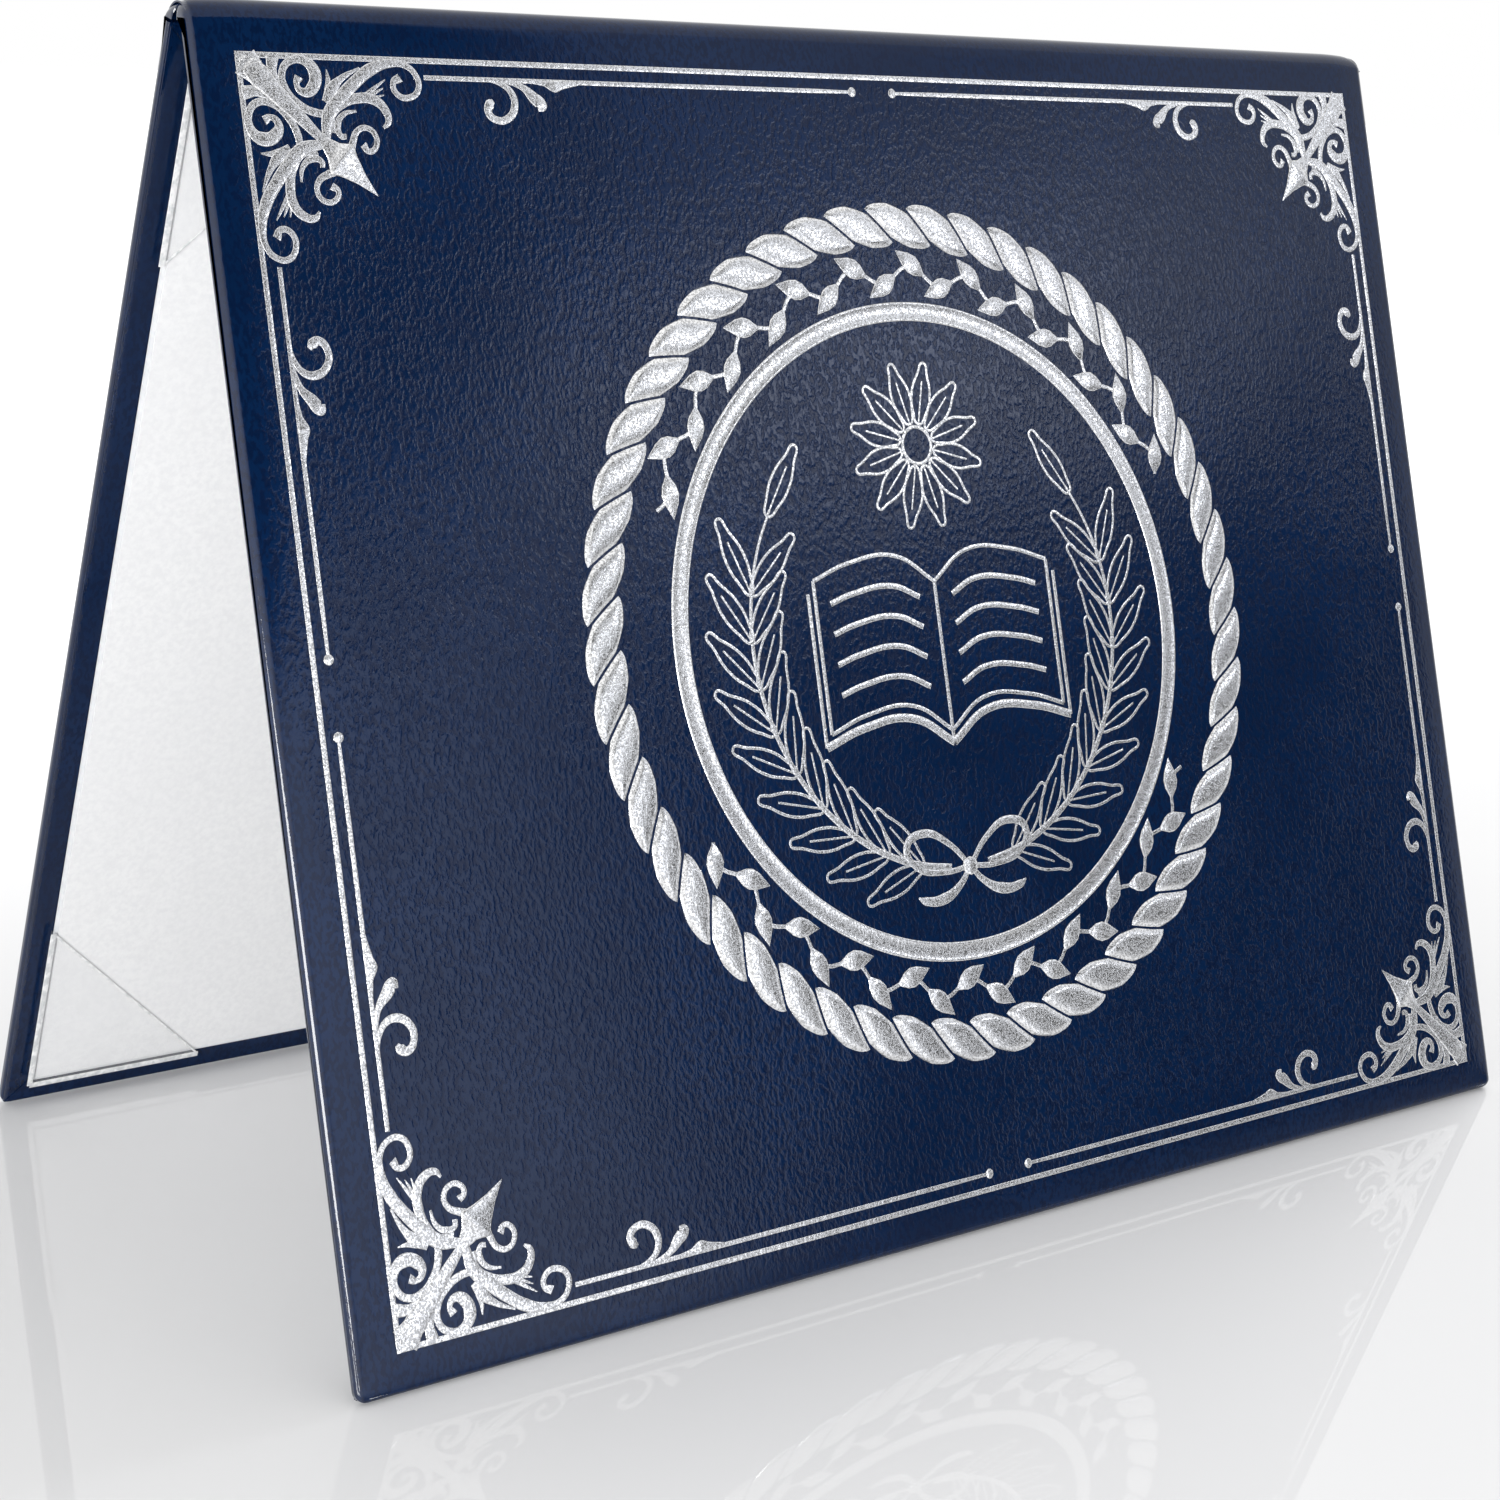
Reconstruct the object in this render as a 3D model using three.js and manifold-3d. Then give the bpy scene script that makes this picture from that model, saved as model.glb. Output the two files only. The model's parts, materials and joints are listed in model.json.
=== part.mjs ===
// A landscape diploma cover, opened like a tent: two leatherette covers joined by a soft spine,
// white liners inside, clear film corners that hold a sheet, and a silver foil stamping outside.
// X runs along the spine, the front cover faces -Y, Z is up and the covers stand on Z = 0.
import * as THREE from 'three';
import { mergeVertices } from 'three/addons/utils/BufferGeometryUtils.js';
import Module from 'manifold-3d';

const wasm = await Module();
wasm.setup();

// Driving dimensions in millimetres and degrees
const sheetWidth = 279.4;
const sheetHeight = 215.9;
const sheetMarginAcross = 6.3;
const sheetMarginUp = 6.35;
const coverCorner = 2.5;
const edgeRounding = 0.6;
const boardThickness = 1.5;
const leatherThickness = 0.4;
const seatGap = 0.25;
const turnInWidth = 14;
const mitreWidth = 0.4;
const mitreDepth = 0.15;
const smallestCorner = 0.2;

// Inside of the covers
const linerBorder = 5.5;
const linerThickness = 0.3;
const linerCorner = 1;
const sheetThickness = 0.2;
const pocketReach = 38;
const filmThickness = 0.2;

// Fold
const leanAngle = 17.7;
const hingeSpan = 8.8;
const hingeSetback = 0.35;
const liningThickness = 0.3;
const liningHalfAngle = 58;

// Foil stamping
const foilThickness = 0.15;
const foilGap = 0.1;
const foilSideMargin = 8;
const foilTopMargin = 5;
const foilBottomMargin = 6.8;
const drawnUnit = 1;
const frameLine = 1;
const frameCorner = 0.05;
const innerLine = 0.85;
const innerLineOffset = 3.45;
const innerLineStart = 36.2;
const curlStart = 49;
const ballRadius = 0.9;
const ballGapAcross = 5.1;
const ballGapUp = 6.5;

// Round device in the middle of the stamping
const ropeOuterRadius = 83.4;
const ropeWidth = 8.7;
const ropeStrands = 49;
const ropeScallop = 1.3;
const ropeLean = 7;
const ropeRelief = 0.5;
const ropeEndLift = 0.12;
const bandSpace = 10.7;
const bandWave = 1.7;
const bandWaveAngle = 12.2;
const bandTopWaves = 11;
const bandBottomWaves = 10;
const bandLine = 0.8;
const bandLeaf = 6.6;
const bandLeafFullness = 0.42;
const bandLeafSpread = 32;
const ringWidth = 3.7;

// Laurel with its bow, rosette and open book inside the plain ring
const laurelMargin = 14.3;
const laurelFoot = 276;
const laurelTop = 394;
const laurelFirstLeaf = 9;
const laurelLastLeaf = 30;
const laurelLeaves = 9;
const laurelLeaf = 15.5;
const laurelFullness = 0.21;
const laurelSpread = 35;
const laurelStem = 0.9;
const laurelTuck = 2;
const bowKnot = 2;
const bookWidth = 60;
const bookHeight = 29;
const bookDrop = 5;
const bookDip = 5.5;
const bookLine = 0.9;
const bookMargin = 1.6;
const bookGutter = 2.4;
const bookRows = 4;
const ruleLine = 0.7;
const rosetteRadius = 16.5;
const rosetteButton = 4;
const rosettePetals = 12;
const rosetteFullness = 0.13;
const rosetteHeight = 36;

// Facets
const cornerSteps = 2;
const curveSteps = 2;
const roundSteps = 42;
const ballSteps = 8;
const archSteps = 6;
const ropeStepsAcross = 3;
const ropeStepsAlong = 3;
const bandSteps = 4;
const leafBulgeAt = 0.45;
const joinTolerance = 0.1;

// Values that follow from the dimensions
const coverWidth = sheetWidth + 2 * sheetMarginAcross;
const coverHeight = sheetHeight + 2 * sheetMarginUp;
const coverThickness = boardThickness + 2 * (leatherThickness + seatGap);
const lean = THREE.MathUtils.degToRad(leanAngle);
const hingeHeight = (coverHeight + hingeSetback) * Math.cos(lean) + coverThickness * Math.sin(lean);
const linerNear = coverThickness + seatGap;
const sheetNear = linerNear + linerThickness + seatGap;
const filmNear = sheetNear + sheetThickness + seatGap;
const panelTop = -hingeSetback;
const panelMiddle = panelTop - coverHeight / 2;
const foilWidth = coverWidth - 2 * foilSideMargin;
const foilHeight = coverHeight - foilTopMargin - foilBottomMargin;
const foilMiddle = panelTop - foilTopMargin - foilHeight / 2;
const ropeInnerRadius = ropeOuterRadius - ropeWidth;
const bandRadius = ropeInnerRadius - bandSpace / 2;
const ringOuterRadius = ropeInnerRadius - bandSpace;
const ringInnerRadius = ringOuterRadius - ringWidth;
const laurelRadius = ringInnerRadius - laurelMargin;

// Materials
const leatherette = new THREE.MeshStandardMaterial({ color: 0x0d1f47, roughness: 0.38 });
const greyboard = new THREE.MeshStandardMaterial({ color: 0x8b8378, roughness: 0.9 });
const linerPaper = new THREE.MeshStandardMaterial({ color: 0xf1f2f4, roughness: 0.6 });
const sheetPaper = new THREE.MeshStandardMaterial({ color: 0xfafafa, roughness: 0.7 });
const clearFilm = new THREE.MeshStandardMaterial({ color: 0xe9edf2, roughness: 0.1 });
const silverFoil = new THREE.MeshStandardMaterial({ color: 0xd4d5d8, roughness: 0.25, metalness: 1 });

// Solids: joining and cutting
function toSolid(geometry) {
  const merged = geometry.clone();
  merged.deleteAttribute('normal');
  merged.deleteAttribute('uv');
  const welded = mergeVertices(merged, 1e-5);
  return new wasm.Manifold(new wasm.Mesh({
    numProp: 3,
    vertProperties: new Float32Array(welded.attributes.position.array),
    triVerts: new Uint32Array(welded.index.array),
  }));
}

function toGeometry(solid) {
  const mesh = solid.getMesh();
  const geometry = new THREE.BufferGeometry();
  const positions = new Float32Array(mesh.vertProperties);
  geometry.setAttribute('position', new THREE.BufferAttribute(positions, 3));
  geometry.setIndex(new THREE.BufferAttribute(new Uint32Array(mesh.triVerts), 1));
  geometry.computeVertexNormals();
  return geometry;
}

function joined(geometries) {
  const whole = geometries.map(toSolid).reduce((sum, piece) => sum.add(piece));
  return toGeometry(whole.simplify(joinTolerance));
}

// A plate from an outline in the panel's plane, between two depths behind the outer face
function plate(outline, near, far, bevel = 0, steps = cornerSteps) {
  const geometry = new THREE.ExtrudeGeometry(outline, {
    depth: far - near - 2 * bevel,
    curveSegments: steps,
    bevelEnabled: bevel > 0,
    bevelThickness: bevel,
    bevelSize: bevel,
    bevelOffset: -bevel,
    bevelSegments: 1,
  });
  geometry.rotateX(Math.PI / 2);
  geometry.translate(0, far - bevel, 0);
  return geometry;
}

function roundedRectangle(width, height, radius, middle = panelMiddle) {
  const right = width / 2;
  const top = middle + height / 2;
  const bottom = middle - height / 2;
  const outline = new THREE.Shape();
  outline.moveTo(-right + radius, bottom);
  outline.absarc(right - radius, bottom + radius, radius, -Math.PI / 2, 0);
  outline.absarc(right - radius, top - radius, radius, 0, Math.PI / 2);
  outline.absarc(-right + radius, top - radius, radius, Math.PI / 2, Math.PI);
  outline.absarc(-right + radius, bottom + radius, radius, Math.PI, Math.PI * 1.5);
  return outline;
}

function insetPanel(inset) {
  const radius = Math.max(coverCorner - inset, smallestCorner);
  return roundedRectangle(coverWidth - 2 * inset, coverHeight - 2 * inset, radius);
}

// Leatherette wrap: outer skin, rounded edges and a turned-in margin with mitred corners
function wrapGeometry() {
  const skin = toSolid(plate(insetPanel(0), 0, coverThickness, edgeRounding));
  const hollow = toSolid(plate(insetPanel(leatherThickness), leatherThickness,
    coverThickness - leatherThickness));
  const mouth = toSolid(plate(insetPanel(turnInWidth), leatherThickness + seatGap,
    coverThickness + seatGap));
  let wrap = skin.subtract(hollow).subtract(mouth);
  const length = turnInWidth * Math.SQRT2;
  for (const side of [-1, 1]) {
    for (const end of [-1, 1]) {
      const groove = new THREE.BoxGeometry(length, 2 * mitreDepth, mitreWidth);
      groove.rotateY(-side * end * Math.PI / 4);
      groove.translate(
        side * (coverWidth - turnInWidth) / 2,
        coverThickness,
        panelMiddle + end * (coverHeight - turnInWidth) / 2,
      );
      wrap = wrap.subtract(toSolid(groove));
    }
  }
  return toGeometry(wrap);
}

function boardGeometry() {
  const inset = leatherThickness + seatGap;
  return plate(insetPanel(inset), inset, inset + boardThickness);
}

function linerGeometry() {
  const outline = roundedRectangle(coverWidth - 2 * linerBorder, coverHeight - 2 * linerBorder, linerCorner);
  return plate(outline, linerNear, linerNear + linerThickness);
}

function sheetGeometry() {
  const geometry = new THREE.BoxGeometry(sheetWidth, sheetThickness, sheetHeight);
  geometry.translate(0, sheetNear + sheetThickness / 2, panelMiddle);
  return geometry;
}

// Clear corner: a film triangle whose two outer edges fold down past the liner
function pocketGeometry(side, end) {
  const wall = filmThickness;
  const reachX = coverWidth / 2 - linerBorder + seatGap + wall;
  const reachZ = coverHeight / 2 - linerBorder + seatGap + wall;
  const corner = (x, z) => new THREE.Vector2(side * x, panelMiddle + end * z);
  const film = new THREE.Shape([
    corner(reachX, reachZ),
    corner(reachX - pocketReach, reachZ),
    corner(reachX, reachZ - pocketReach),
  ]);
  const hemAcross = new THREE.Shape([
    corner(reachX, reachZ),
    corner(reachX - pocketReach, reachZ),
    corner(reachX - pocketReach, reachZ - wall),
    corner(reachX, reachZ - wall),
  ]);
  const hemUp = new THREE.Shape([
    corner(reachX, reachZ),
    corner(reachX, reachZ - pocketReach),
    corner(reachX - wall, reachZ - pocketReach),
    corner(reachX - wall, reachZ),
  ]);
  const outer = filmNear + filmThickness;
  const trim = plate(film, linerNear - seatGap, outer + seatGap);
  const hems = [hemAcross, hemUp].map((hem) => toSolid(plate(hem, linerNear, outer)));
  const body = hems.reduce((whole, hem) => whole.add(hem), toSolid(plate(film, filmNear, outer)));
  return toGeometry(body.intersect(toSolid(trim)));
}

// Spine: an arch whose ends run on into both outer faces
const spineRadius = hingeSpan / 2 / Math.cos(lean);
const spineCentre = hingeHeight - spineRadius * Math.sin(lean);

function archGeometry(outerRadius, thickness, halfAngle) {
  const outline = new THREE.Shape();
  const start = Math.PI / 2 - halfAngle;
  const end = Math.PI / 2 + halfAngle;
  outline.absarc(0, spineCentre, outerRadius, start, end);
  outline.absarc(0, spineCentre, outerRadius - thickness, end, start, true);
  const geometry = new THREE.ExtrudeGeometry(outline, {
    depth: coverWidth - 2 * edgeRounding,
    curveSegments: archSteps,
    bevelEnabled: false,
  });
  geometry.rotateX(Math.PI / 2);
  geometry.rotateZ(Math.PI / 2);
  geometry.translate(-(coverWidth / 2 - edgeRounding), 0, 0);
  return geometry;
}

// Foil shapes: a stroke follows a smooth line through its points, each with its own width
function stroke(points, steps = 1, tipLength = 0) {
  const line = new THREE.CatmullRomCurve3(points.map(([x, y]) => new THREE.Vector3(x, y, 0)),
    false, 'centripetal');
  const count = (points.length - 1) * steps;
  const left = [];
  const right = [];
  for (let i = 0; i <= count; i += 1) {
    const t = i / count;
    const spot = line.getPoint(t);
    const along = line.getTangent(t);
    const place = t * (points.length - 1);
    const before = Math.min(Math.floor(place), points.length - 2);
    const width = THREE.MathUtils.lerp(points[before][2], points[before + 1][2], place - before);
    left.push(new THREE.Vector2(spot.x - along.y * width / 2, spot.y + along.x * width / 2));
    right.push(new THREE.Vector2(spot.x + along.y * width / 2, spot.y - along.x * width / 2));
  }
  if (tipLength > 0) {
    const end = line.getPoint(1);
    const along = line.getTangent(1);
    left.push(new THREE.Vector2(end.x + along.x * tipLength, end.y + along.y * tipLength));
  }
  return new THREE.Shape([...left, ...right.reverse()]);
}

function disc(x, y, radius, steps = ballSteps) {
  const outline = [];
  for (let i = 0; i < steps; i += 1) {
    const angle = (i / steps) * 2 * Math.PI;
    outline.push(new THREE.Vector2(x + radius * Math.cos(angle), y + radius * Math.sin(angle)));
  }
  return new THREE.Shape(outline);
}

function foilPlate(outline) {
  return plate(outline, -foilGap - foilThickness, -foilGap, 0, curveSteps);
}

// Half of the corner scrollwork: points right and down from the frame's corner, and stroke widths
const cornerStrokes = [
  // stem along the diagonal
  [[1, 1, 5], [6, 6, 3.6], [11, 11, 2.4], [16.5, 16.5, 5]],
  // volute against the frame
  [[17.2, 10.2, 1.2], [13.8, 10, 1.4], [10.9, 8.6, 1.4], [8.8, 6.1, 1.3], [8.5, 3.3, 1.3],
    [10.2, 1.4, 1.3], [12.9, 1.2, 1.6], [14.7, 3.2, 2.4], [13.8, 6, 2.2], [12, 6.6, 1.4],
    [11, 5.3, 1], [11.6, 4, 1.6]],
  // long sweep that ends in the outer curl
  [[15.4, 14.4, 1.6], [16.4, 10.4, 2.4], [19.3, 7.3, 2.4], [22.4, 4.6, 2.2], [25.6, 2.4, 2.2],
    [29.4, 1.2, 1.5], [32.6, 1.4, 1.1], [34.6, 3, 1.1], [34.9, 5.4, 1.1], [33, 7, 1.1],
    [30.6, 6.6, 1.1], [29.9, 4.6, 1.1], [31.4, 3.6, 1.6]],
  // leafy curl below the sweep
  [[16.6, 13.4, 1.6], [17, 10.6, 1.4], [19.4, 8.4, 1.6], [22.4, 7.4, 1.8], [25.6, 7.6, 1.8],
    [27.6, 9.2, 1.6], [28, 11.4, 1.2], [26.9, 12.4, 0.5]],
  // curl on the shoulder of the arrowhead
  [[19.6, 17.6, 1.8], [20.5, 15, 1.3], [21.7, 13, 1.1], [23.7, 12.5, 1], [25.2, 13.9, 1],
    [24.9, 15.8, 1], [23.4, 16.5, 1], [22.5, 15.3, 1.4]],
  // leaf and rays beside the sweep
  [[16.2, 8.3, 1.6], [17.6, 6, 2.2], [19.6, 4.2, 1.2], [23.6, 2.1, 0.3]],
  [[23, 7.6, 1], [26, 5.6, 0.7], [28.4, 4, 0.2]],
  // leaves in the corner itself
  [[2.4, 0.6, 3.2], [4.4, 3.4, 2.6], [7.2, 6.6, 0.8]],
  [[7, 0.6, 2.4], [6.7, 3.4, 1.7], [8.4, 7.2, 1.2], [13, 12.6, 0.8]],
];
// Half of the arrowhead: tip, shoulder and neck with the bends between them
const arrowHalf = [[24.2, 24.2], [21, 18.6], [20.6, 15.4], [17.8, 16], [15.4, 13.6]];

// Curl, spike and spur on the inner line, from the curl's start on the line
const curlStroke = [[0, 0, 0.5], [3, 0.65, 0.9], [5, 2.15, 1.3], [5.3, 4.55, 1.4], [3.8, 6.75, 1.4],
  [1.4, 7.15, 1.3], [-0.3, 5.75, 1.5], [0.3, 4.35, 1.8]];
const spikeStroke = [[3.5, 0.05, 0.6], [7.5, 1.15, 1.2], [10, 3.15, 2.2], [11.1, 4.15, 2.6]];
const spikeTip = 1.6;
const spur = [[9, 0], [12.6, 0.4], [15, 2.4], [16.8, 0.5], [20.5, 0]];

// Half of the bow: points right and up from its knot
const bowStrokes = [
  [[0, 0, 1], [5, 5, 1.2], [11, 7.6, 1.6], [15.5, 5.4, 1.6]],
  [[15.5, 5.4, 1.6], [13.5, 1.4, 1.3], [7, -0.4, 1.1], [0, 0, 1]],
  [[0, 0, 1], [3, -3.2, 1.4], [7.5, -5.4, 2.2], [12.5, -5.2, 1.6]],
];

function sized(points, side = 1, x = 0, y = 0) {
  return points.map(([right, up, width = 0]) => [
    x + side * right * drawnUnit,
    y + up * drawnUnit,
    width * drawnUnit,
  ]);
}

function curvedOutline(points) {
  const outline = new THREE.Shape();
  outline.moveTo(points[0][0], points[0][1]);
  for (let i = 1; i < points.length - 1; i += 2) {
    outline.quadraticCurveTo(points[i][0], points[i][1], points[i + 1][0], points[i + 1][1]);
  }
  return outline;
}

function cornerOutlines() {
  const outlines = [];
  for (const points of cornerStrokes) {
    outlines.push(stroke(sized(points)));
    outlines.push(stroke(sized(points.map(([across, down, width]) => [down, across, width]))));
  }
  const half = sized(arrowHalf);
  const [neckX, neckY] = half[half.length - 1];
  const neck = [(neckX + neckY) / 2, (neckX + neckY) / 2];
  const otherHalf = half.map(([across, down]) => [down, across]).reverse();
  outlines.push(curvedOutline([...half, neck, ...otherHalf]));
  return outlines;
}

// Places a piece drawn right and down from a corner onto one of the four corners
function atCorner(geometry, side, end, swap = false) {
  const placed = geometry.clone();
  const across = foilWidth / 2;
  const up = foilHeight / 2;
  const positions = placed.attributes.position;
  for (let i = 0; i < positions.count; i += 1) {
    const right = swap ? -positions.getZ(i) : positions.getX(i);
    const down = swap ? positions.getX(i) : -positions.getZ(i);
    positions.setXYZ(i, side * (across - right), positions.getY(i), foilMiddle + end * (up - down));
  }
  if (side * end * (swap ? -1 : 1) > 0) {
    const index = placed.index ? placed.index.array : null;
    if (index) {
      for (let i = 0; i < index.length; i += 3) [index[i], index[i + 1]] = [index[i + 1], index[i]];
    }
  }
  placed.deleteAttribute('normal');
  placed.computeVertexNormals();
  return placed;
}

function drawnDown(outline) {
  const points = outline.extractPoints(curveSteps).shape;
  return new THREE.Shape(points.map((point) => new THREE.Vector2(point.x, -point.y)));
}

function foilFromDrawing(outlines) {
  return joined(outlines.map((outline) => foilPlate(drawnDown(outline))));
}

function frameGeometry() {
  const outline = roundedRectangle(foilWidth, foilHeight, frameCorner, foilMiddle);
  outline.holes.push(roundedRectangle(foilWidth - 2 * frameLine, foilHeight - 2 * frameLine, frameCorner,
    foilMiddle));
  const inside = new THREE.Shape([
    new THREE.Vector2(frameLine / 3, frameLine / 3),
    new THREE.Vector2(innerLineStart, frameLine / 3),
    new THREE.Vector2(innerLineStart, innerLineStart),
    new THREE.Vector2(frameLine / 3, innerLineStart),
  ]);
  const scrollwork = toGeometry(toSolid(foilFromDrawing(cornerOutlines()))
    .intersect(toSolid(foilPlate(drawnDown(inside)))));
  const pieces = [foilPlate(outline)];
  for (const side of [-1, 1]) {
    for (const end of [-1, 1]) pieces.push(atCorner(scrollwork, side, end));
  }
  return joined(pieces);
}

// Inner line with its curl, spike and spur, drawn along the top from a corner
function innerLineOutlines(length) {
  const half = innerLine / 2;
  const line = innerLineOffset;
  const stem = new THREE.Shape([
    new THREE.Vector2(innerLineStart, line - half),
    new THREE.Vector2(length, line - half),
    new THREE.Vector2(length, line + half),
    new THREE.Vector2(innerLineStart, line + half),
  ]);
  const curl = stroke(sized(curlStroke, 1, curlStart, line));
  const spike = stroke(sized(spikeStroke, 1, curlStart, line), 1, spikeTip * drawnUnit);
  const point = curvedOutline(sized(spur, 1, curlStart, line));
  return [stem, curl, spike, point, disc(length, line, ballRadius)];
}

// Rope: a ring moulded as slanting strands, rounded on top and scalloped at both edges
function ropeGeometry() {
  const perStrand = ropeStepsAcross;
  const rings = ropeStepsAlong;
  const around = ropeStrands * perStrand;
  const positions = [];
  const index = [];
  const topLift = foilGap + foilThickness;
  const leanRadians = THREE.MathUtils.degToRad(ropeLean);
  for (let j = 0; j < rings; j += 1) {
    const t = j / (rings - 1);
    for (let i = 0; i < around; i += 1) {
      const across = ((i % perStrand) / perStrand) * 2 - 1;
      const round = Math.sqrt(Math.max(0, 1 - across * across));
      const edge = ropeScallop * (1 - round);
      const radius = THREE.MathUtils.lerp(ropeInnerRadius + edge, ropeOuterRadius - edge, t);
      const angle = (i / around) * 2 * Math.PI + leanRadians * (t - 0.5);
      const swell = Math.sin(Math.PI * THREE.MathUtils.lerp(ropeEndLift, 1 - ropeEndLift, t));
      const lift = topLift + ropeRelief * round * swell;
      positions.push(radius * Math.cos(angle), -lift, radius * Math.sin(angle));
    }
  }
  const top = around * rings;
  for (const j of [0, rings - 1]) {
    for (let i = 0; i < around; i += 1) {
      const k = 3 * (j * around + i);
      positions.push(positions[k], -foilGap, positions[k + 2]);
    }
  }
  const quad = (a, b, c, d) => index.push(a, b, c, a, c, d);
  for (let i = 0; i < around; i += 1) {
    const next = (i + 1) % around;
    for (let j = 0; j < rings - 1; j += 1) {
      quad(j * around + i, (j + 1) * around + i, (j + 1) * around + next, j * around + next);
    }
    const outer = (rings - 1) * around;
    quad(outer + i, top + around + i, top + around + next, outer + next);
    quad(top + i, i, next, top + next);
    quad(top + around + i, top + i, top + next, top + around + next);
  }
  const geometry = new THREE.BufferGeometry();
  geometry.setAttribute('position', new THREE.Float32BufferAttribute(positions, 3));
  geometry.setIndex(index);
  geometry.translate(0, 0, foilMiddle);
  geometry.computeVertexNormals();
  return geometry;
}

function circle(radius, steps) {
  return disc(0, foilMiddle, radius, steps);
}

function ringGeometry() {
  const outline = circle(ringOuterRadius, roundSteps);
  outline.holes.push(circle(ringInnerRadius, roundSteps));
  return foilPlate(outline);
}

// A leaf outline from a base point towards an angle
function leaf(x, y, angle, length, fullness) {
  const outline = new THREE.Shape();
  const place = (along, aside) => [
    x + along * Math.cos(angle) - aside * Math.sin(angle),
    y + along * Math.sin(angle) + aside * Math.cos(angle),
  ];
  const bulge = length * fullness;
  outline.moveTo(...place(0, 0));
  outline.quadraticCurveTo(...place(length * leafBulgeAt, -bulge), ...place(length, 0));
  outline.quadraticCurveTo(...place(length * leafBulgeAt, bulge), ...place(0, 0));
  return outline;
}

// Band between rope and ring: an arc of waving stem with a leaf in each half wave
function bandGeometry(middleAngle, waves) {
  const wave = THREE.MathUtils.degToRad(bandWaveAngle);
  const start = THREE.MathUtils.degToRad(middleAngle) - (wave * waves) / 2;
  const steps = waves * bandSteps;
  const edge = (offset) => {
    const outline = [];
    for (let i = 0; i <= steps; i += 1) {
      const turn = (i / bandSteps) * wave;
      const radius = bandRadius + bandWave * Math.sin((i / bandSteps) * 2 * Math.PI) + offset;
      const angle = start + turn;
      outline.push(new THREE.Vector2(radius * Math.cos(angle), foilMiddle + radius * Math.sin(angle)));
    }
    return outline;
  };
  const pieces = [foilPlate(new THREE.Shape([...edge(bandLine / 2), ...edge(-bandLine / 2).reverse()]))];
  for (let i = 0; i < waves * 2; i += 1) {
    const outward = i % 2 === 0 ? -1 : 1;
    const angle = start + (i / 2) * wave;
    const turn = angle + Math.PI / 2 + outward * THREE.MathUtils.degToRad(bandLeafSpread);
    const x = bandRadius * Math.cos(angle);
    const y = foilMiddle + bandRadius * Math.sin(angle);
    pieces.push(foilPlate(leaf(x, y, turn, bandLeaf, bandLeafFullness)));
  }
  return joined(pieces);
}

// One branch of the wreath, from its foot up one side
function branchPieces(side) {
  const mirror = (angle) => (side > 0 ? angle : Math.PI - angle);
  const spot = (angle) => [
    laurelRadius * Math.cos(mirror(angle)),
    foilMiddle + laurelRadius * Math.sin(mirror(angle)),
  ];
  const foot = THREE.MathUtils.degToRad(laurelFoot);
  const top = THREE.MathUtils.degToRad(laurelTop);
  const tucked = top - THREE.MathUtils.degToRad(laurelTuck);
  const spread = THREE.MathUtils.degToRad(laurelSpread);
  const points = [];
  for (let i = 0; i < laurelLeaves; i += 1) {
    const t = i / (laurelLeaves - 1);
    const thinning = 1.6 - t;
    points.push([...spot(THREE.MathUtils.lerp(foot, top, t)), laurelStem * thinning]);
  }
  const leafAt = (angle, turn) => foilPlate(leaf(...spot(angle), mirror(angle) + side * Math.PI / 2 + turn,
    laurelLeaf, laurelFullness));
  const pieces = [foilPlate(stroke(points, curveSteps)), leafAt(tucked, 0)];
  const first = foot + THREE.MathUtils.degToRad(laurelFirstLeaf);
  const last = top - THREE.MathUtils.degToRad(laurelLastLeaf - laurelFirstLeaf);
  for (let i = 0; i < laurelLeaves; i += 1) {
    const angle = THREE.MathUtils.lerp(first, last, i / (laurelLeaves - 1));
    pieces.push(leafAt(angle, -spread), leafAt(angle, spread));
  }
  return pieces;
}

// Wreath: two branches tied with a bow
function wreathGeometry() {
  const knotHeight = foilMiddle - laurelRadius;
  const pieces = [foilPlate(disc(0, knotHeight, bowKnot)), ...branchPieces(-1), ...branchPieces(1)];
  for (const points of bowStrokes) {
    for (const side of [-1, 1]) pieces.push(foilPlate(stroke(sized(points, side, 0, knotHeight))));
  }
  return joined(pieces);
}

// Line of a page: share of its width, then height in dips of the page
const pageArch = [[0, 0], [0.3, 1], [0.7, 0.9], [1, 0.4]];
const ruleArch = [[0.14, 0.55], [0.35, 1.02], [0.7, 0.88], [0.88, 0.62]];
const bookBase = foilMiddle - bookDrop - bookHeight / 2;

function pageLine(arch, side, half, lift, width) {
  return foilPlate(stroke(arch.map(([share, dips]) => [
    side * half * share,
    bookBase + lift + bookDip * dips,
    width,
  ])));
}

// Open book drawn in line: two arched pages on a cover, and the gutter between them
function bookGeometry() {
  const half = bookWidth / 2;
  const pageEnd = bookBase + bookDip * pageArch[pageArch.length - 1][1];
  const upright = (x, low, high) => foilPlate(stroke([[x, low, bookLine], [x, high, bookLine]]));
  const pieces = [upright(0, bookBase - bookGutter, bookBase + bookHeight + bookLine / 2)];
  for (const side of [-1, 1]) {
    pieces.push(pageLine(pageArch, side, half, 0, bookLine));
    pieces.push(pageLine(pageArch, side, half, bookHeight, bookLine));
    pieces.push(pageLine(pageArch, side, half + bookMargin, -bookGutter, 2 * bookLine));
    pieces.push(upright(side * half, pageEnd, pageEnd + bookHeight));
    pieces.push(upright(side * (half + bookMargin), pageEnd - bookGutter, pageEnd + bookHeight - bookGutter));
  }
  return joined(pieces);
}

// Rules printed on a page of the book
function bookRuleGeometry(side, row) {
  const step = bookHeight / (bookRows + 1);
  return pageLine(ruleArch, side, bookWidth / 2, step * (row + 1), ruleLine);
}

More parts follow.
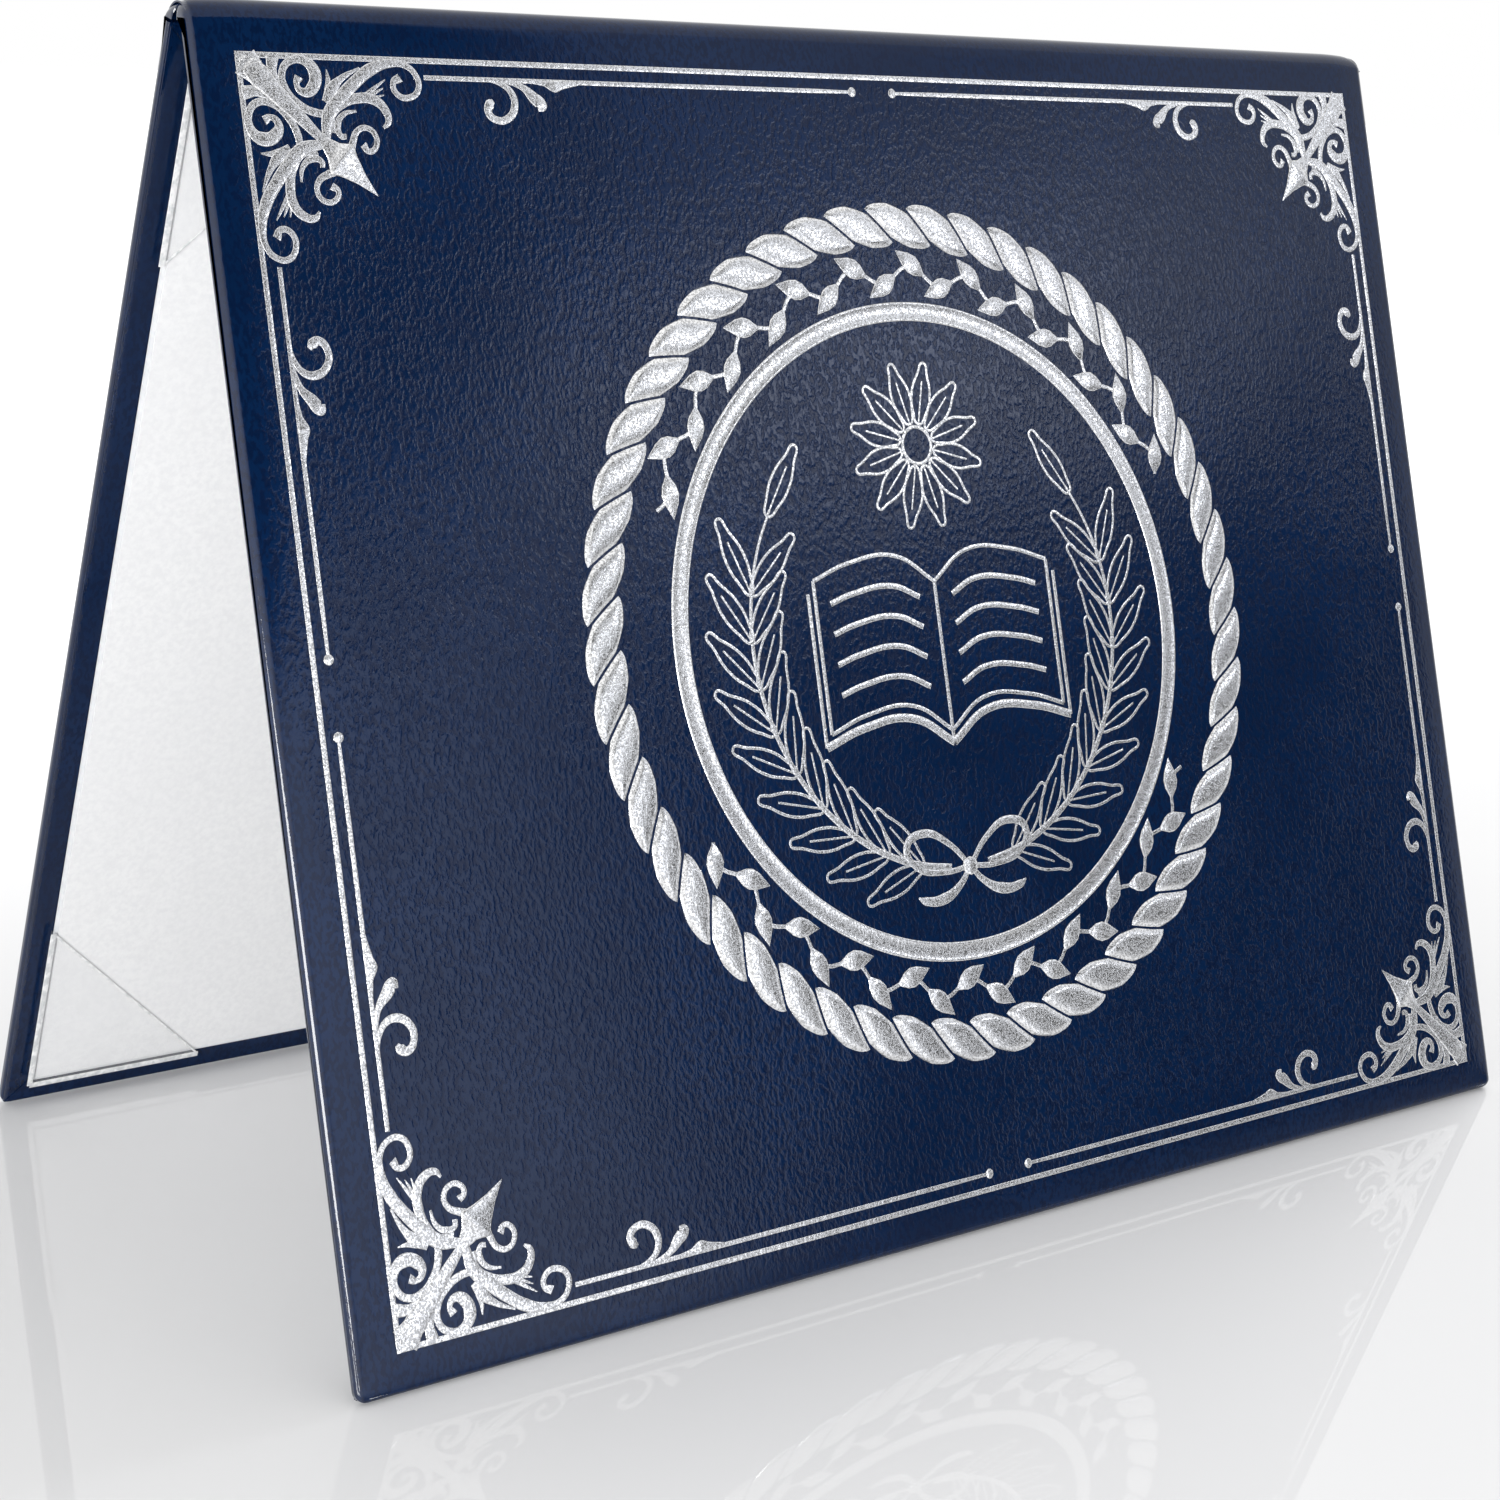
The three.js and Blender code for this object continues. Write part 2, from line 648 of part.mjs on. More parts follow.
// Rosette: a ring of petals round a button
function rosetteGeometry() {
  const middle = foilMiddle + rosetteHeight;
  const pieces = [foilPlate(disc(0, middle, rosetteButton, rosettePetals))];
  for (let i = 0; i < rosettePetals; i += 1) {
    const angle = ((i + 0.5) / rosettePetals) * 2 * Math.PI;
    pieces.push(foilPlate(leaf(0, middle, angle, rosetteRadius, rosetteFullness)));
  }
  return joined(pieces);
}

// Assembly
const cover = new THREE.Group();

function piece(group, name, geometry, material) {
  const mesh = new THREE.Mesh(geometry, material);
  mesh.name = name;
  group.add(mesh);
  return mesh;
}

function coverPanel(name, facing) {
  const turn = new THREE.Group();
  turn.rotation.z = facing > 0 ? Math.PI : 0;
  const panel = new THREE.Group();
  panel.position.set(0, -hingeSpan / 2, hingeHeight);
  panel.rotation.x = -lean;
  turn.add(panel);
  cover.add(turn);
  piece(panel, `${name}_wrap`, wrapGeometry(), leatherette);
  piece(panel, `${name}_board`, boardGeometry(), greyboard);
  piece(panel, `${name}_liner`, linerGeometry(), linerPaper);
  return panel;
}

const front = coverPanel('front', -1);
const back = coverPanel('back', 1);

piece(cover, 'spine_wrap', archGeometry(spineRadius, leatherThickness, Math.PI / 2 - lean), leatherette);
const liningRadius = spineRadius - leatherThickness - seatGap;
piece(cover, 'spine_lining', archGeometry(liningRadius, liningThickness,
  THREE.MathUtils.degToRad(liningHalfAngle)), leatherette);

piece(back, 'blank_sheet', sheetGeometry(), sheetPaper);
for (const [end, height] of [[1, 'top'], [-1, 'bottom']]) {
  for (const [side, hand] of [[-1, 'right'], [1, 'left']]) {
    piece(back, `film_corner_${height}_${hand}`, pocketGeometry(side, end), clearFilm);
  }
}

piece(front, 'foil_frame', frameGeometry(), silverFoil);
for (const [end, height] of [[1, 'top'], [-1, 'bottom']]) {
  for (const [side, hand] of [[-1, 'left'], [1, 'right']]) {
    const across = foilFromDrawing(innerLineOutlines(foilWidth / 2 - ballGapAcross));
    const upright = foilFromDrawing(innerLineOutlines(foilHeight / 2 - ballGapUp));
    piece(front, `foil_line_${height}_${hand}`, atCorner(across, side, end), silverFoil);
    piece(front, `foil_line_${hand}_${height}`, atCorner(upright, side, end, true), silverFoil);
  }
}
piece(front, 'foil_rope', ropeGeometry(), silverFoil);
piece(front, 'foil_band_top', bandGeometry(90, bandTopWaves), silverFoil);
piece(front, 'foil_band_bottom', bandGeometry(270, bandBottomWaves), silverFoil);
piece(front, 'foil_ring', ringGeometry(), silverFoil);
piece(front, 'foil_wreath', wreathGeometry(), silverFoil);
piece(front, 'foil_book', bookGeometry(), silverFoil);
piece(front, 'foil_rosette', rosetteGeometry(), silverFoil);
for (let row = 0; row < bookRows; row += 1) {
  piece(front, `foil_rule_left_${row + 1}`, bookRuleGeometry(-1, row), silverFoil);
  piece(front, `foil_rule_right_${row + 1}`, bookRuleGeometry(1, row), silverFoil);
}

export default cover;
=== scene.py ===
"""A navy leatherette diploma cover with a silver stamping, standing like a tent on a pale floor."""
import json
import math

import bmesh
import bpy
from mathutils import Matrix, Vector


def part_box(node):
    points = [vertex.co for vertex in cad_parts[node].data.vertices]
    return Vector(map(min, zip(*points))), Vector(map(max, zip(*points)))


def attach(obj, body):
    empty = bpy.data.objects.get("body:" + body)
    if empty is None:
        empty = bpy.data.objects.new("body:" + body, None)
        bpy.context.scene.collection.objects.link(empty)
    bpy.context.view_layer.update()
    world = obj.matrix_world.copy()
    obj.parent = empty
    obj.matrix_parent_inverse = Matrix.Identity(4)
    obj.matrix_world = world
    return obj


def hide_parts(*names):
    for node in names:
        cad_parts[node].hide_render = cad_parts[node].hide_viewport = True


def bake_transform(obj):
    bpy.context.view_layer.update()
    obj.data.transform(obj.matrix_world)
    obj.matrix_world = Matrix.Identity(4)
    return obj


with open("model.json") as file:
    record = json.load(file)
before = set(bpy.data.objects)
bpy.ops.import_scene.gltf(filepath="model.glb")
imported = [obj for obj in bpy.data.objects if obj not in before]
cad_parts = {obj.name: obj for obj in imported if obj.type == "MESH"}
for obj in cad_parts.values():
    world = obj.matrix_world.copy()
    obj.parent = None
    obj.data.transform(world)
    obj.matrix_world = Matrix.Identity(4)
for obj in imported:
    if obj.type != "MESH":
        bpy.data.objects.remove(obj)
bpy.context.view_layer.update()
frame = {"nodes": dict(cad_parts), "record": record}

# Sizes of the covers, in metres and radians
MM = 0.001
joints = {joint["name"]: joint for joint in frame["record"]["behaviour"]["joints"]}
hinge_height = joints["front_fold"]["pos_m"][2]
hinge_span = joints["spine_fold"]["pos_m"][1] - joints["front_fold"]["pos_m"][1]
lean = math.radians(90 + joints["front_fold"]["range_deg"][0])
cover_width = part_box("front_wrap")[1][0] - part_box("front_wrap")[0][0]
cover_height = 228.6 * MM
cover_thickness = 2.8 * MM
hinge_setback = 0.35 * MM
leather_thickness = 0.8 * MM
spine_radius = hinge_span / 2 / math.cos(lean)
corner_radius = 2.2 * MM
outer_rounding = 1.1 * MM
inner_rounding = 0.4 * MM
padding_drop = 0.6 * MM
padding_reach = 11 * MM
spine_end_radius = 3.2 * MM
turn_in = 14 * MM
turn_in_step = 0.25 * MM

# Sizes of the stamping, in millimetres of the drawing
foil_width = 276
foil_height = 216.8
foil_middle = -(0.35 + 5 + foil_height / 2)
frame_line = 1.0
inner_line = 0.85
inner_line_offset = 3.45
inner_line_start = 36.2
ball_radius = 0.95
ball_gap_across = 5.1
ball_gap_up = 6.5
rope_outer = 83.4
rope_inner = 74.7
rope_strands = 49
band_radius = 69.35
ring_outer = 64.0
ring_inner = 60.3
laurel_radius = 46
laurel_leaf = (15.5, 4.4, 0.55)
book_half = 30
book_height = 29
book_dip = 5.5
book_margin = 1.6
book_gutter = 2.4
book_rules = 4
book_base = foil_middle - 5 - book_height / 2
foil_lift = 0.06
hem_lift = 0.12
hem_slant = 0.45
hem_outer = 1.2

# Finishes: scales in cells per metre, reliefs in metres
wrinkle_scale = 1250.0
wrinkle_cells = 1150.0
pore_scale = 3000.0
speck_scale = 2300.0
leather_relief = 0.00006
foil_relief = 0.00002
edge_polish = (1.6 * MM, 0.7 * MM)

# Brightness of the room: as light, and as seen in glossy surfaces
room_level = 0.72
room_mirrored = 1.0
aim = Vector((0, -0.04, 0.11))

# Places on the covers
front_place = Matrix.Translation((0, -hinge_span / 2, hinge_height)) @ Matrix.Rotation(-lean, 4, "X")
back_place = Matrix.Rotation(math.pi, 4, "Z") @ front_place
drawing_place = front_place @ Matrix.Rotation(math.pi / 2, 4, "X") @ Matrix.Scale(MM, 4)


def camera():
    """The photograph's view: focal length and middle in its pixels, place and direction in metres."""
    size = 1500
    focal = 2765
    middle = (617, 686)
    place = Vector((-0.3583, -0.4251, 0.2250))
    look = Vector((0.5722, 0.7843, -0.2397)).normalized()
    right = Vector((0.8144, -0.5779, 0.0529))
    right = (right - look * right.dot(look)).normalized()
    up = right.cross(look)
    data = bpy.data.cameras.new("photo_view")
    data.sensor_width = 36
    data.lens = 36 * focal / size
    data.shift_x = (size / 2 - middle[0]) / size
    data.shift_y = (middle[1] - size / 2) / size
    item = bpy.data.objects.new("photo_view", data)
    turn = Matrix((right, up, -look)).transposed().to_4x4()
    item.matrix_world = Matrix.Translation(place) @ turn
    bpy.context.collection.objects.link(item)
    bpy.context.scene.camera = item


class Value:
    """A shader socket that takes part in plain arithmetic."""

    def __init__(self, shade, socket):
        self.shade = shade
        self.socket = socket

    def maths(self, operation, first, second):
        return self.shade.value("ShaderNodeMath", {"operation": operation}, {0: first, 1: second})

    def __add__(self, other):
        return self.maths("ADD", self, other)

    def __radd__(self, other):
        return self.maths("ADD", other, self)

    def __sub__(self, other):
        return self.maths("SUBTRACT", self, other)

    def __rsub__(self, other):
        return self.maths("SUBTRACT", other, self)

    def __mul__(self, other):
        return self.maths("MULTIPLY", self, other)

    def __rmul__(self, other):
        return self.maths("MULTIPLY", other, self)

    def most(self, other):
        return self.maths("MAXIMUM", self, other)

    def size(self):
        return self.maths("ABSOLUTE", self, 0)


class Shade:
    """A material, or the world, and its nodes."""

    def __init__(self, name, world=False):
        self.owner = (bpy.data.worlds if world else bpy.data.materials).new(name)
        self.owner.use_nodes = True
        self.tree = self.owner.node_tree
        self.tree.nodes.clear()
        self.place = None if world else self.node("ShaderNodeTexCoord", {}, {}).outputs["Object"]

    def node(self, kind, settings, inputs):
        node = self.tree.nodes.new(kind)
        for name, setting in settings.items():
            setattr(node, name, setting)
        for name, content in inputs.items():
            socket = node.inputs[name]
            if isinstance(content, Value):
                content = content.socket
            if isinstance(content, bpy.types.NodeSocket):
                self.tree.links.new(content, socket)
            else:
                socket.default_value = content
        return node

    def value(self, kind, settings, inputs):
        return Value(self, self.node(kind, settings, inputs).outputs[0])

    def axis(self, name, place=None):
        """One coordinate of a place."""
        spot = self.node("ShaderNodeSeparateXYZ", {}, {"Vector": place or self.place})
        return Value(self, spot.outputs[name])

    def ray(self, kind):
        """One for rays of a kind, zero for the others."""
        return Value(self, self.node("ShaderNodeLightPath", {}, {}).outputs[f"Is {kind} Ray"])

    def noise(self, scale, detail=3.0, rough=0.55, place=None):
        inputs = {"Vector": place or self.place, "Scale": scale, "Detail": detail, "Roughness": rough}
        return self.value("ShaderNodeTexNoise", {}, inputs)

    def ramp(self, factor, low, high, from_low=0.0, to_high=1.0):
        settings = {"interpolation_type": "SMOOTHSTEP", "clamp": True}
        inputs = {"Value": factor, "From Min": low, "From Max": high, "To Min": from_low, "To Max": to_high}
        return self.value("ShaderNodeMapRange", settings, inputs)

    def mix(self, factor, first, second):
        inputs = {"Factor": factor, 6: first, 7: second}
        return Value(self, self.node("ShaderNodeMix", {"data_type": "RGBA"}, inputs).outputs[2])

    def bump(self, height, distance, strength=1.0, normal=None):
        inputs = {"Height": height, "Distance": distance, "Strength": strength}
        if normal:
            inputs["Normal"] = normal
        return self.value("ShaderNodeBump", {}, inputs)

    def finish(self, inputs, shader="ShaderNodeBsdfPrincipled", output="ShaderNodeOutputMaterial"):
        surface = self.node(shader, {}, inputs).outputs[0]
        self.node(output, {}, {"Surface": surface})
        return self.owner


def colour(text):
    """A linear colour from a six-digit screen colour."""
    parts = [int(text[i:i + 2], 16) / 255 for i in (0, 2, 4)]
    return tuple(p / 12.92 if p <= 0.04045 else ((p + 0.055) / 1.055) ** 2.4 for p in parts) + (1.0,)


def leather_grain(shade):
    """Height of the fine slanting wrinkles, from 0 to 1."""
    warp = shade.node("ShaderNodeTexNoise", {}, {"Vector": shade.place, "Scale": 330.0, "Detail": 2.0})
    bent = shade.node("ShaderNodeVectorMath", {"operation": "MULTIPLY_ADD"},
                      {0: warp.outputs["Color"], 1: (0.0011, 0.0011, 0.0011), 2: shade.place}).outputs[0]
    slanted = shade.node("ShaderNodeMapping", {}, {"Vector": bent, "Rotation": (0, math.radians(28), 0),
                                                   "Scale": (1.0, 1.0, 0.52)}).outputs[0]
    wrinkles = shade.noise(wrinkle_scale, 2.0, 0.5, slanted)
    cells = shade.value("ShaderNodeTexVoronoi", {"feature": "F1"},
                        {"Vector": slanted, "Scale": wrinkle_cells})
    pores = shade.noise(pore_scale, 1.0, 0.5)
    return shade.ramp(wrinkles, 0.34, 0.62) * 0.55 + 0.4 * (1 - cells) + 0.1 * pores


def inside_edges(shade):
    """One in the middle of a cover, falling to zero at its four edges."""
    across = shade.axis("X").size()
    up = shade.axis("Z")
    side = shade.ramp(across, cover_width / 2 - 9 * MM, cover_width / 2 - 2 * MM, 1.0, 0.0)
    top = shade.ramp(up, hinge_height - 9 * MM, hinge_height - 2 * MM, 1.0, 0.0)
    foot = shade.ramp(up, 2 * MM, 11 * MM)
    return side * top * foot


def leatherette():
    """Navy leather-look wrap: grained in the middle, smoother and more polished at its edges."""
    shade = Shade("navy_leatherette")
    grain = leather_grain(shade)
    inside = inside_edges(shade)
    calm = shade.noise(13.0, 3.0)
    cloudy = shade.noise(30.0, 4.0)
    strength = shade.ramp(calm, 0.36, 0.6, 0.45, 1.0) * (0.15 + 0.85 * inside)
    tone = shade.mix(shade.ramp(cloudy, 0.3, 0.7), colour("041b3b"), colour("072145"))
    dark = shade.mix(shade.ramp(grain, 0.3, 0.75), colour("031635"), tone)
    rough = shade.ramp(grain, 0.3, 0.9, 0.19, 0.11) * (0.6 + 0.4 * inside)
    bump = shade.bump(grain * strength, leather_relief)
    starts, full = (cover_width / 2 - reach for reach in edge_polish)
    polish = shade.ramp(shade.axis("X").size(), starts, full)
    return shade.finish({"Base Color": dark, "Roughness": rough, "Normal": bump, "IOR": 1.36,
                         "Coat Weight": polish, "Coat Roughness": 0.06, "Coat Normal": bump})


def silver_foil(name):
    """Bright silver over the leather's grain, with fine dark specks."""
    shade = Shade(name)
    grain = leather_grain(shade)
    speck = shade.ramp(shade.noise(speck_scale, 2.0, 0.6), 0.4, 0.54)
    patches = shade.noise(24.0, 3.0)
    pale = shade.mix(shade.ramp(patches, 0.35, 0.65), colour("efeff0"), colour("fbfbfb"))
    tone = shade.mix(0.55 + 0.45 * speck, colour("4c4d50"), pale)
    rough = shade.ramp(speck, 0.0, 1.0, 0.26, 0.17)
    bump = shade.bump(speck, foil_relief, 1.0, shade.bump(grain, foil_relief))
    return shade.finish({"Base Color": tone, "Metallic": 0.92, "Roughness": rough, "Normal": bump})


def paper(name, light, dark, coarse):
    """Plain paper between two tones, with its fibre."""
    shade = Shade(name)
    fibre = shade.noise(coarse, 4.0, 0.6)
    cloud = shade.noise(30.0, 2.0)
    tone = shade.mix(shade.ramp(fibre, 0.3, 0.7), colour(dark), colour(light))
    soft = shade.mix(shade.ramp(cloud, 0.3, 0.7, 0.0, 0.35), tone, colour(dark))
    bump = shade.bump(fibre, 0.00004, 0.5)
    rough = shade.ramp(fibre, 0.3, 0.7, 0.55, 0.7)
    return shade.finish({"Base Color": soft, "Roughness": rough, "Normal": bump})


def clear_film():
    """Thin clear film with a little haze."""
    shade = Shade("clear_film")
    ripple = shade.noise(60.0, 2.0)
    bump = shade.bump(ripple, 0.0004, 0.3)
    haze = shade.ramp(shade.noise(40.0, 3.0), 0.3, 0.7, 0.05, 0.1)
    return shade.finish({"Base Color": colour("f6f7f8"), "Roughness": 0.12, "IOR": 1.45, "Alpha": haze,
                         "Normal": bump})


def film_rim_glint():
    """Welded edge of the clear film, with a fine ripple: a milky white line that is partly the edge itself
    and partly painted highlight, the glint along the film's edges.
    """
    shade = Shade("film_rim_glint")
    ripple = shade.noise(700.0, 2.0)
    tone = shade.mix(shade.ramp(ripple, 0.35, 0.65), colour("e9ebec"), colour("ffffff"))
    milky_glint = shade.ramp(ripple, 0.3, 0.7, 0.75, 0.9)
    return shade.finish({"Base Color": tone, "Roughness": 0.16, "Alpha": milky_glint,
                         "Normal": shade.bump(ripple, 0.0001, 0.5)})


def only(item):
    """Leaves one object selected and active."""
    bpy.ops.object.select_all(action="DESELECT")
    item.select_set(True)
    bpy.context.view_layer.objects.active = item


def settle(item, place):
    """Puts the mesh where it belongs, with the object at the origin."""
    item.data.transform(place)
    item.matrix_world = Matrix.Identity(4)
    item.data.update()
    return item


def paint(item, material):
    """Gives a piece one material."""
    item.data.materials.clear()
    item.data.materials.append(material)


def smooth(item, degrees=35):
    only(item)
    bpy.ops.object.shade_smooth_by_angle(angle=math.radians(degrees))


def edit_edges(item, wanted):
    """Selects, in edit mode, the edges whose two ends pass a test."""
    only(item)
    bpy.ops.object.mode_set(mode="EDIT")
    bpy.ops.mesh.select_mode(type="EDGE")
    bpy.ops.mesh.select_all(action="DESELECT")
    mesh = bmesh.from_edit_mesh(item.data)
    for edge in mesh.edges:
        if wanted(edge.verts[0].co, edge.verts[1].co):
            edge.select = True
    mesh.select_flush_mode()
    bmesh.update_edit_mesh(item.data)


def turn_in_strips():
    """The four turned-in margins on a cover's inner face, with mitred ends."""
    half = cover_width / 2 - 0.5 * MM
    middle = -hinge_setback - cover_height / 2
    reach = cover_height / 2 - 0.5 * MM
    strips = []
    for turned in range(4):
        long_half, other = (half, reach) if turned % 2 == 0 else (reach, half)
        bpy.ops.mesh.primitive_cube_add(size=1)
        strip = bpy.context.object
        strip.scale = (2 * long_half, turn_in_step * 2, turn_in)
        bpy.ops.object.transform_apply(scale=True)
        gap = 0.18 * MM
        for vertex in strip.data.vertices:
            outer = vertex.co.z > 0
            vertex.co.x = math.copysign(long_half - gap - (0 if outer else turn_in), vertex.co.x)
            vertex.co.z = other - (0 if outer else turn_in)
        only(strip)
        bpy.ops.object.mode_set(mode="EDIT")
        bpy.ops.mesh.select_all(action="SELECT")
        bpy.ops.mesh.bevel(offset=0.12 * MM, segments=2, affect="EDGES")
        bpy.ops.object.mode_set(mode="OBJECT")
        strip.data.transform(Matrix.Translation((0, cover_thickness - turn_in_step, middle))
                             @ Matrix.Rotation(turned * math.pi / 2, 4, "Y"))
        strips.append(strip)
    return strips


def rounded(distance, radius):
    """How far a rounded edge has fallen at a distance inside it."""
    return radius - math.sqrt(radius ** 2 - (radius - distance) ** 2) if distance < radius else 0.0


def padded_drop(distance):
    return padding_drop * max(1 - distance / padding_reach, 0.0) ** 2.2


def cover_section(end):
    """Section through a cover and its half of the spine, at a distance from the cover's side."""
    bottom = -hinge_setback - cover_height
    inner_face = cover_thickness - turn_in_step
    radius = spine_radius
    arc = math.pi / 2 - lean
    corner = rounded(end, corner_radius)
    side_drop = padded_drop(end)
    fall = rounded(end, outer_rounding)
    spots = []

    def face(height):
        foot_drop = padded_drop(height)
        depth = side_drop + foot_drop - side_drop * foot_drop / padding_drop + fall
        depth += rounded(height, outer_rounding)
        return min(depth, cover_thickness / 2), bottom + height + corner * max(1 - height / (10 * MM), 0.0)

    heights = [0, 0.08, 0.25, 0.5, 0.8, 1.1, 1.7, 2.5, 3.5, 5, 7, 9, 11]
    spots += [face(height * MM) for height in heights]
    reach = side_drop + fall
    spots += [(reach, -12 * MM), (reach, -6 * MM), (reach, -3 * MM), (reach, -1 * MM)]
    turn_down = rounded(end, spine_end_radius)
    thinned = min(reach, leather_thickness * 0.4)
    for i in range(13):
        turn = arc * i / 12
        far = radius - thinned - (reach - thinned) * (1 - i / 12) ** 2
        share = math.sin(turn) / math.sin(arc)
        spots.append((radius - far * math.cos(turn), far * math.sin(turn) - turn_down * share))
    inner = radius - leather_thickness
    for i in range(13):
        turn = arc * (1 - i / 12)
        share = math.sin(turn) / math.sin(arc)
        spots.append((radius - inner * math.cos(turn), inner * math.sin(turn) - turn_down * share))
    back = inner_face - rounded(end, inner_rounding)
    spots += [(max(leather_thickness, reach + 0.2 * MM), -hinge_setback), (back, -hinge_setback)]
    for height in (0.4, 0.2, 0.06):
        spots.append((back - rounded(height * MM, inner_rounding), bottom + corner + height * MM))
    return spots


def cover_leather(name):
    """One padded cover in its leatherette, extruded from side to side through changing sections."""
    half = cover_width / 2
    ends = [0, 0.06, 0.2, 0.4, 0.7, 1.1, 1.6, 2.2, 3.2, 5, 7, 9, 11]
    stations = [(-half + end * MM, end * MM) for end in ends]
    stations += [(half - end * MM, end * MM) for end in reversed(ends)]
    count = len(cover_section(0))
    bpy.ops.mesh.primitive_circle_add(vertices=count, fill_type="NOTHING", radius=1)
    item = bpy.context.object
    item.name = name
    for step, (across, end) in enumerate(stations):
        if step:
            only(item)
            bpy.ops.object.mode_set(mode="EDIT")
            if step == 1:
                bpy.ops.mesh.select_all(action="SELECT")
            bpy.ops.mesh.extrude_region_move()
            bpy.ops.object.mode_set(mode="OBJECT")
        newest = item.data.vertices[len(item.data.vertices) - count:]
        for vertex, (depth, up) in zip(newest, cover_section(end)):
            vertex.co = (across, depth, up)
    for side in (-half, half):
        edit_edges(item, lambda a, b: abs(a.x - side) < 1e-7 and abs(b.x - side) < 1e-7)
        bpy.ops.mesh.edge_face_add()
        bpy.ops.mesh.select_all(action="SELECT")
        bpy.ops.mesh.normals_make_consistent(inside=False)
        bpy.ops.object.mode_set(mode="OBJECT")
    strips = turn_in_strips()
    only(item)
    for strip in strips:
        strip.select_set(True)
    bpy.ops.object.join()
    smooth(item)
    return item


def ribbons(name, strokes, thickness=foil_lift):
    """Flat strokes of varying width, each drawn as a smooth curve through its points."""
    section = bpy.data.curves.new(name + "_section", "CURVE")
    spline = section.splines.new("POLY")
    profile = ((-0.5, 0), (0.5, 0), (0.5, 0.5), (0.47, 0.85), (0.42, 1), (-0.42, 1), (-0.47, 0.85),
               (-0.5, 0.5))
    spline.points.add(len(profile) - 1)
    for point, spot in zip(spline.points, [(across, up * thickness) for across, up in profile]):
        point.co = (*spot, 0, 1)
    spline.use_cyclic_u = True
    section_item = bpy.data.objects.new(name + "_section", section)
    bpy.context.collection.objects.link(section_item)
    data = bpy.data.curves.new(name, "CURVE")
    data.dimensions = "3D"
    data.twist_mode = "Z_UP"
    data.bevel_mode = "OBJECT"
    data.bevel_object = section_item
    data.use_fill_caps = True
    data.resolution_u = 7
    for k, (points, cyclic) in enumerate(strokes):
        line = data.splines.new("BEZIER")
        line.bezier_points.add(len(points) - 1)
        line.use_cyclic_u = cyclic
        lift = foil_lift * (0.3 + 0.013 * (k % 40))
        for knot, (x, y, width) in zip(line.bezier_points, points):
            knot.co = (x, y, lift)
            knot.radius = max(width, 0.04)
            knot.handle_left_type = knot.handle_right_type = "AUTO"
    item = bpy.data.objects.new(name, data)
    bpy.context.collection.objects.link(item)
    only(item)
    bpy.ops.object.convert(target="MESH")
    bpy.data.objects.remove(section_item)
    item = bpy.context.object
    smooth(item, 50)
    return item


# Strokes of a scroll corner: right, down and width, from the frame's corner
corner_strokes = [
    [[1, 1, 1], [2.4, 2.4, 3.6], [4, 4, 4.4], [6, 6, 3.6], [11, 11, 2.4], [14.6, 14.6, 1.6],
     [16.4, 16.4, 3.6], [17.9, 17.9, 7.2], [19.6, 19.6, 4.4], [21.6, 21.6, 2.1], [24.2, 24.2, 0.1]],
    [[17.2, 10.2, 1.2], [13.8, 10, 1.4], [10.9, 8.6, 1.4], [8.8, 6.1, 1.3], [8.5, 3.3, 1.3],
     [10.2, 1.4, 1.3], [12.9, 1.2, 1.6], [14.7, 3.2, 2.4], [13.8, 6, 2.2], [12, 6.6, 1.4],
     [11, 5.3, 1], [11.6, 4, 1.6]],
    [[15.4, 14.4, 1.6], [16.4, 10.4, 2.4], [19.3, 7.3, 2.4], [22.4, 4.6, 2.2], [25.6, 2.4, 2.2],
     [29.4, 1.2, 1.5], [32.6, 1.4, 1.1], [34.6, 3, 1.1], [34.9, 5.4, 1.1], [33, 7, 1.1],
     [30.6, 6.6, 1.1], [29.9, 4.6, 1.1], [31.4, 3.6, 1.6]],
    [[16.6, 13.4, 1.6], [17, 10.6, 1.4], [19.4, 8.4, 1.6], [22.4, 7.4, 1.8], [25.6, 7.6, 1.8],
     [27.6, 9.2, 1.6], [28, 11.4, 1.2], [26.9, 12.4, 0.5]],
    [[21.9, 9.6, 0.4], [19.4, 10.2, 0.9], [18, 12, 1.2], [18.4, 14, 1], [19.4, 14, 0.9]],
    [[19.6, 17.6, 1.8], [20.5, 15, 1.3], [21.7, 13, 1.1], [23.7, 12.5, 1], [25.2, 13.9, 1],
     [24.9, 15.8, 1], [23.4, 16.5, 1], [22.5, 15.3, 1.4]],
    [[16.2, 8.3, 1.6], [17.6, 6, 2.2], [19.6, 4.2, 1.2], [23.6, 2.1, 0.3]],
    [[16.9, 6.2, 1.4], [17.2, 4.4, 0.9], [17.1, 2.6, 0.2]],
    [[23, 7.6, 1], [26, 5.6, 0.7], [28.4, 4, 0.2]],
    [[23.4, 7.6, 0.8], [26, 6.4, 0.6], [27.8, 5.5, 0.2]],
    [[24, 7.8, 0.7], [26.2, 7.1, 0.5], [27.8, 6.7, 0.2]],
    [[2.4, 0.6, 3.2], [4.4, 3.4, 2.6], [7.2, 6.6, 0.8]],
    [[7, 0.6, 2.4], [6.7, 3.4, 1.7], [8.4, 7.2, 1.2], [13, 12.6, 0.8]],
]


def at_corner(points, side, end, swap=False):
    """Points drawn right and down from a frame corner, put at one of the four corners."""
    placed = []
    for right, down, width in points:
        if swap:
            right, down = down, right
        placed.append((side * (foil_width / 2 - right), foil_middle + end * (foil_height / 2 - down), width))
    return placed


